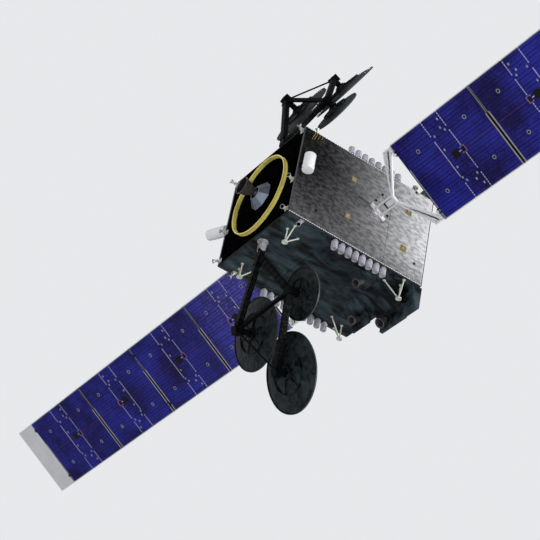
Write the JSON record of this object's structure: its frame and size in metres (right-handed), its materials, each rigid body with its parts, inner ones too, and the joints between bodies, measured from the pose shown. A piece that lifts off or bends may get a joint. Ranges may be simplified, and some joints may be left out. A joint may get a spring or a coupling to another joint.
{
  "type": "communications satellite",
  "caption": "Box-shaped communications satellite with folding solar wings on yokes, hinged booms of offset dishes, feed horns, mirror radiators and a round separation ring under the aft deck.",
  "frame": {"origin": "centre of the separation ring's lower face, where the satellite is clamped to what carries it", "axes": "+Z from the separation ring to the earth deck, Y along the solar wings, X through the two sides that carry the dishes"},
  "size_m": [8.1386, 23.526, 3.51],
  "materials": {
    "black_blanket": "black blanket, slightly creased",
    "slate_blanket": "dark slate blanket, creased and glossy",
    "mirror_radiator": "second-surface mirror tiles with a pebbled sheen",
    "core": "plain, closed inside",
    "gold_ring": "gold chromate conversion coat",
    "engine_metal": "dark silicide-coated metal",
    "silver_shield": "bright foil, faceted",
    "thruster_metal": "bright metal",
    "collector_grey": "satin, ribbed",
    "horn_grey": "pale brown-grey thermal paint",
    "rest_white": "white thermal paint",
    "gold_seat": "gold chromate",
    "white_paint": "white thermal paint",
    "hinge_grey": "satin grey",
    "solar_cells": "deep blue cells under cover glass",
    "flap_grey": "light grey sheet",
    "boom_black": "black wrapped tube",
    "dish_slate": "dark slate blanket"
  },
  "bodies": {
    "bus": {"aft_deck": "black_blanket", "array_rests_north": "gold_seat", "array_rests_south": "gold_seat", "baffle_north": "white_paint", "baffle_south": "white_paint", "boom_root_east": "hinge_grey", "boom_root_west": "hinge_grey", "collectors_ne": "collector_grey", "collectors_nw": "collector_grey", "collectors_se": "collector_grey", "collectors_sw": "collector_grey", "core_tube": "core", "dish_rests_east": "rest_white", "dish_rests_west": "rest_white", "drive_north": "hinge_grey", "drive_south": "hinge_grey", "earth_deck": "black_blanket", "east_panel": "slate_blanket", "engine_shield": "silver_shield", "feed_horns_east": "horn_grey", "feed_horns_west": "horn_grey", "feed_tower_east": "slate_blanket", "feed_tower_west": "slate_blanket", "main_engine": "engine_metal", "north_radiator": "mirror_radiator", "separation_ring": "gold_ring", "south_radiator": "mirror_radiator", "thrusters": "thruster_metal", "west_panel": "slate_blanket"},
    "hub_north": {"hub_north": "white_paint"},
    "yoke_north": {"yoke_north": "white_paint"},
    "panel_1_north": {"panel_1_north": "solar_cells"},
    "panel_2_north": {"panel_2_north": "solar_cells"},
    "panel_3_north": {"panel_3_north": "solar_cells"},
    "panel_4_north": {"panel_4_north": "solar_cells"},
    "tip_flap_north": {"tip_flap_north": "flap_grey"},
    "hub_south": {"hub_south": "white_paint"},
    "yoke_south": {"yoke_south": "white_paint"},
    "panel_1_south": {"panel_1_south": "solar_cells"},
    "panel_2_south": {"panel_2_south": "solar_cells"},
    "panel_3_south": {"panel_3_south": "solar_cells"},
    "panel_4_south": {"panel_4_south": "solar_cells"},
    "tip_flap_south": {"tip_flap_south": "flap_grey"},
    "boom_east": {"boom_east": "boom_black", "dish_a_east": "dish_slate", "dish_b_east": "dish_slate", "dish_c_east": "dish_slate"},
    "boom_west": {"boom_west": "boom_black", "dish_a_west": "dish_slate", "dish_b_west": "dish_slate", "dish_c_west": "dish_slate"}
  },
  "joints": [
    {"name": "drive_north", "type": "hinge", "parent": "bus", "child": "hub_north", "pos_m": [0, -1.17, 1.881], "axis": [0, 1, 0], "continuous": true},
    {"name": "wing_fold_north", "type": "hinge", "parent": "hub_north", "child": "yoke_north", "pos_m": [0, -1.261, 1.881], "axis": [-0.5299, 0, -0.848], "range_deg": [0, 90]},
    {"name": "panel_1_north_fold", "type": "hinge", "parent": "yoke_north", "child": "panel_1_north", "pos_m": [0.02226, -2.405, 1.86709], "axis": [-0.5299, 0, -0.848], "range_deg": [-180, 0]},
    {"name": "panel_2_north_fold", "type": "hinge", "parent": "panel_1_north", "child": "panel_2_north", "pos_m": [-0.01696, -4.603, 1.8916], "axis": [-0.5299, 0, -0.848], "range_deg": [0, 180]},
    {"name": "panel_3_north_fold", "type": "hinge", "parent": "panel_2_north", "child": "panel_3_north", "pos_m": [0.01696, -6.801, 1.8704], "axis": [-0.5299, 0, -0.848], "range_deg": [-180, 0]},
    {"name": "panel_4_north_fold", "type": "hinge", "parent": "panel_3_north", "child": "panel_4_north", "pos_m": [-0.01696, -8.999, 1.8916], "axis": [-0.5299, 0, -0.848], "range_deg": [0, 180]},
    {"name": "tip_flap_north_fold", "type": "hinge", "parent": "panel_4_north", "child": "tip_flap_north", "pos_m": [0.01696, -11.197, 1.8704], "axis": [-0.5299, 0, -0.848], "range_deg": [-180, 0]},
    {"name": "drive_south", "type": "hinge", "parent": "bus", "child": "hub_south", "pos_m": [0, 1.17, 1.881], "axis": [0, 1, 0], "continuous": true},
    {"name": "wing_fold_south", "type": "hinge", "parent": "hub_south", "child": "yoke_south", "pos_m": [0, 1.261, 1.881], "axis": [0.5299, 0, 0.848], "range_deg": [0, 90]},
    {"name": "panel_1_south_fold", "type": "hinge", "parent": "yoke_south", "child": "panel_1_south", "pos_m": [0.02226, 2.405, 1.86709], "axis": [0.5299, 0, 0.848], "range_deg": [-180, 0]},
    {"name": "panel_2_south_fold", "type": "hinge", "parent": "panel_1_south", "child": "panel_2_south", "pos_m": [-0.01696, 4.603, 1.8916], "axis": [0.5299, 0, 0.848], "range_deg": [0, 180]},
    {"name": "panel_3_south_fold", "type": "hinge", "parent": "panel_2_south", "child": "panel_3_south", "pos_m": [0.01696, 6.801, 1.8704], "axis": [0.5299, 0, 0.848], "range_deg": [-180, 0]},
    {"name": "panel_4_south_fold", "type": "hinge", "parent": "panel_3_south", "child": "panel_4_south", "pos_m": [-0.01696, 8.999, 1.8916], "axis": [0.5299, 0, 0.848], "range_deg": [0, 180]},
    {"name": "tip_flap_south_fold", "type": "hinge", "parent": "panel_4_south", "child": "tip_flap_south", "pos_m": [0.01696, 11.197, 1.8704], "axis": [0.5299, 0, 0.848], "range_deg": [-180, 0]},
    {"name": "boom_east_hinge", "type": "hinge", "parent": "bus", "child": "boom_east", "pos_m": [1.205, -0.09, 0.265], "axis": [0, -1, 0], "range_deg": [0, 48]},
    {"name": "boom_west_hinge", "type": "hinge", "parent": "bus", "child": "boom_west", "pos_m": [-1.205, -0.09, 0.265], "axis": [0, 1, 0], "range_deg": [0, 48]}
  ],
  "couplings": [
    {"joint": "panel_1_north_fold", "follows": "wing_fold_north", "ratio": -2},
    {"joint": "panel_2_north_fold", "follows": "wing_fold_north", "ratio": 2},
    {"joint": "panel_3_north_fold", "follows": "wing_fold_north", "ratio": -2},
    {"joint": "panel_4_north_fold", "follows": "wing_fold_north", "ratio": 2},
    {"joint": "tip_flap_north_fold", "follows": "wing_fold_north", "ratio": -2},
    {"joint": "panel_1_south_fold", "follows": "wing_fold_south", "ratio": -2},
    {"joint": "panel_2_south_fold", "follows": "wing_fold_south", "ratio": 2},
    {"joint": "panel_3_south_fold", "follows": "wing_fold_south", "ratio": -2},
    {"joint": "panel_4_south_fold", "follows": "wing_fold_south", "ratio": 2},
    {"joint": "tip_flap_south_fold", "follows": "wing_fold_south", "ratio": -2}
  ]
}
